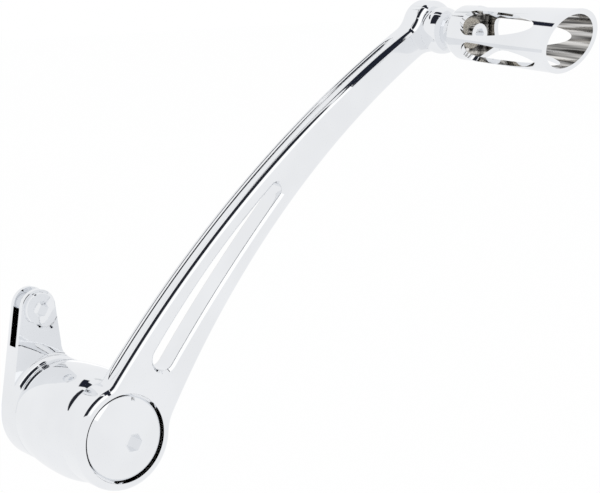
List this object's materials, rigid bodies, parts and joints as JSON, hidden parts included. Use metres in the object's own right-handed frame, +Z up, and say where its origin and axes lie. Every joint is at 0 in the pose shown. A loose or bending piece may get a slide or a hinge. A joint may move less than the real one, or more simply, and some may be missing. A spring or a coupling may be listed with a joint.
{
  "type": "rear brake pedal",
  "caption": "Chromed motorcycle rear brake pedal: windowed curved arm on a pivot barrel, hollow toe peg and a clevis lever for the brake cylinder.",
  "frame": {"origin": "centre of the threaded hole in the pivot shaft, on the flat seat of the shaft's flange that meets the motorcycle's frame", "axes": "+X points forward on the motorcycle, +Y inward along the pivot shaft to the frame, +Z up"},
  "size_m": [0.2301, 0.1717, 0.2194],
  "materials": {
    "arm_chrome": "polished",
    "barrel_chrome": "polished",
    "lever_chrome": "polished",
    "cap_chrome": "polished",
    "peg_chrome": "polished",
    "pin_chrome": "polished",
    "screw_chrome": "polished",
    "plain_steel": "turned",
    "bush_bronze": "turned",
    "washer_nylon": "matte",
    "seal_rubber": "matte"
  },
  "bodies": {
    "root": {"pivot_shaft": "plain_steel", "pivot_cap": "cap_chrome"},
    "pedal": {"brake_arm": "arm_chrome", "pivot_barrel": "barrel_chrome", "cylinder_lever": "lever_chrome", "outer_bush": "bush_bronze", "inner_bush": "bush_bronze", "outer_seal": "seal_rubber", "inner_seal": "seal_rubber", "outer_thrust_washer": "washer_nylon", "inner_thrust_washer": "bush_bronze", "arm_screws": "plain_steel", "arm_dowels": "plain_steel", "lever_screws": "plain_steel", "lever_dowels": "plain_steel", "clevis_pin": "pin_chrome", "clevis_ring": "plain_steel", "peg_ball": "peg_chrome", "neck_washer": "plain_steel", "toe_peg": "peg_chrome", "peg_screw": "screw_chrome", "peg_washer": "washer_nylon"}
  },
  "joints": [
    {"name": "pedal_pivot", "type": "hinge", "parent": "root", "child": "pedal", "pos_m": [0, -0.04, 0], "axis": [0, 1, 0], "range_deg": [0, 14], "stiffness_Nm_per_rad": 14, "springref_deg": -20.05}
  ]
}
